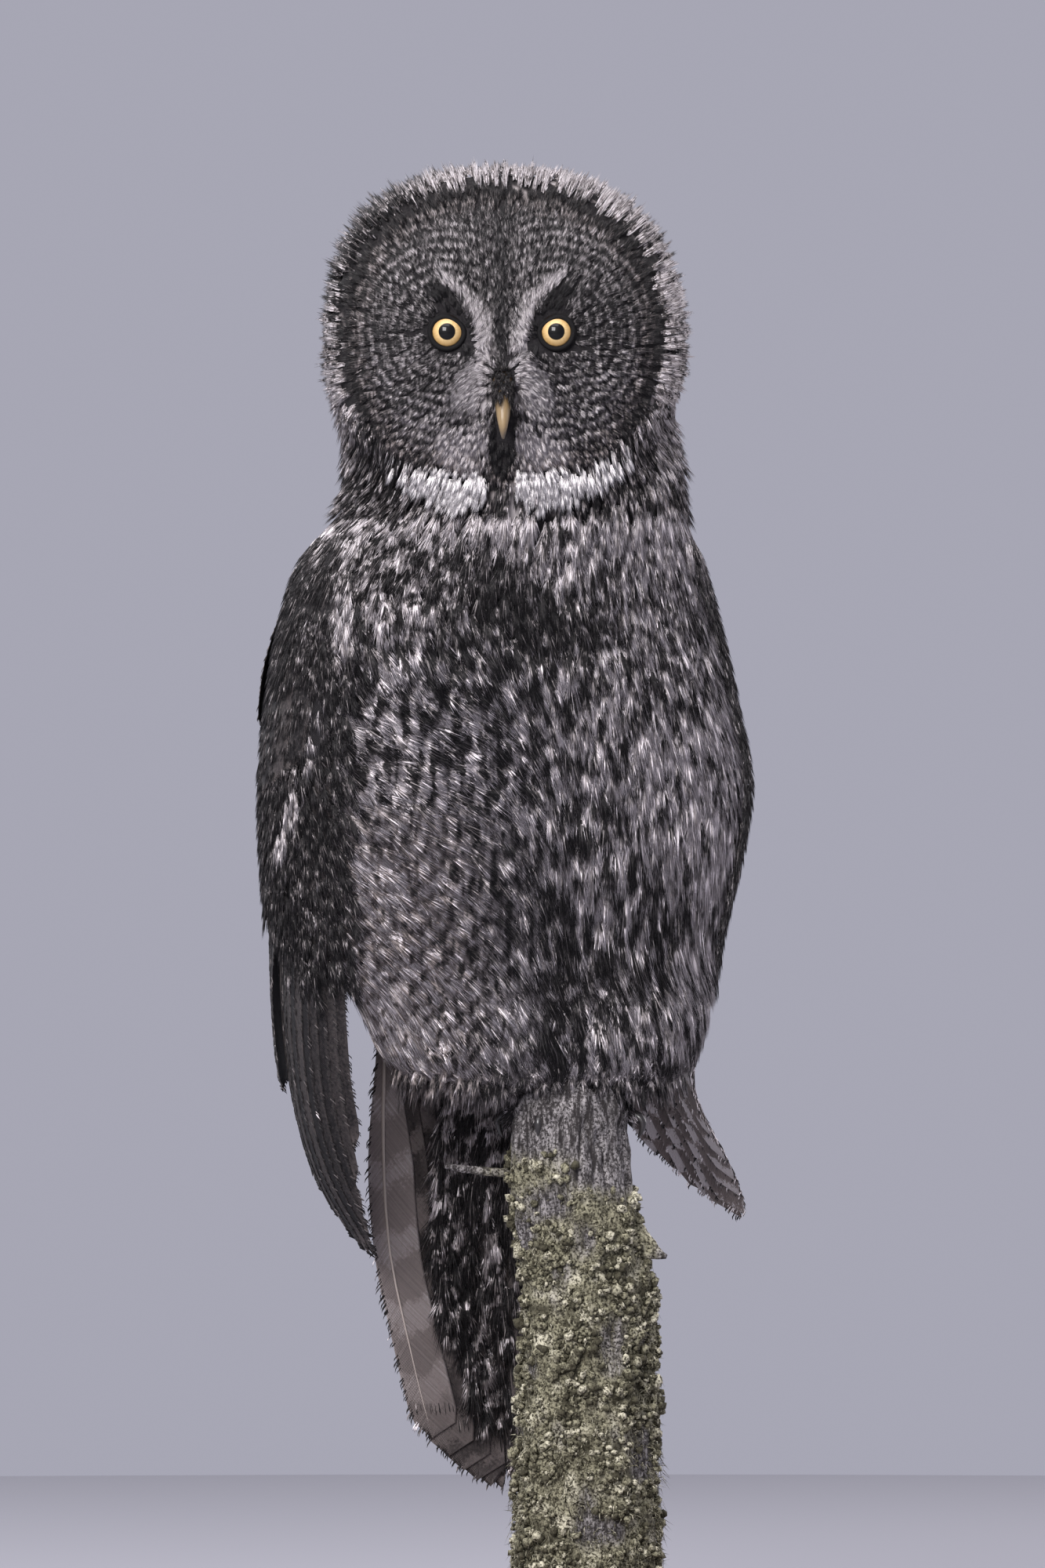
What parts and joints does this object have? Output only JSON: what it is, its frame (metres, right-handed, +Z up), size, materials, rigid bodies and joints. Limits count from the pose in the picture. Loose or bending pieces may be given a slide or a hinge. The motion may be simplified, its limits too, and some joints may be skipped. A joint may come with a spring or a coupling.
{
  "type": "great grey owl",
  "caption": "Life-size great grey owl perched upright on the broken top of a lichened stem, on a round display stand, face to the front and wings folded.",
  "frame": {"origin": "centre of the underside of the round stand board, straight below the stem's foot", "axes": "-Y is the way the face looks, +X is to the viewer's right, which is the owl's left, and +Z is up; the body is turned 28 degrees from the face"},
  "size_m": [0.3233, 0.3048, 0.784],
  "materials": {
    "body_feathers": "soft barred grey and brown contour feathers",
    "flight_feathers": "dark grey-brown wing and tail feathers with paler bars",
    "eye": "wet, yellow iris round a black pupil",
    "lid_skin": "dark bare skin of the eyelids",
    "bill_horn": "ochre-yellow horn",
    "claw": "black horn",
    "bark": "dead stem crusted with olive-grey lichen",
    "stand_board": "black stained board, satin",
    "stand_steel": "brushed"
  },
  "bodies": {
    "root": {"head": "body_feathers", "facial_disc": "body_feathers", "neck": "body_feathers", "torso": "body_feathers", "leg_right": "body_feathers", "leg_left": "body_feathers", "eye_right": "eye", "eye_left": "eye", "eyelid_right": "lid_skin", "eyelid_left": "lid_skin", "bill_upper": "bill_horn", "bill_lower": "bill_horn", "wing_right": "flight_feathers", "wing_left": "flight_feathers", "tail": "flight_feathers", "perch": "bark", "stand_base": "stand_board", "stand_rod": "stand_steel", "claw_right_1": "claw", "claw_right_2": "claw", "claw_right_3": "claw", "claw_right_4": "claw", "claw_left_1": "claw", "claw_left_2": "claw", "claw_left_3": "claw", "claw_left_4": "claw"}
  },
  "joints": []
}
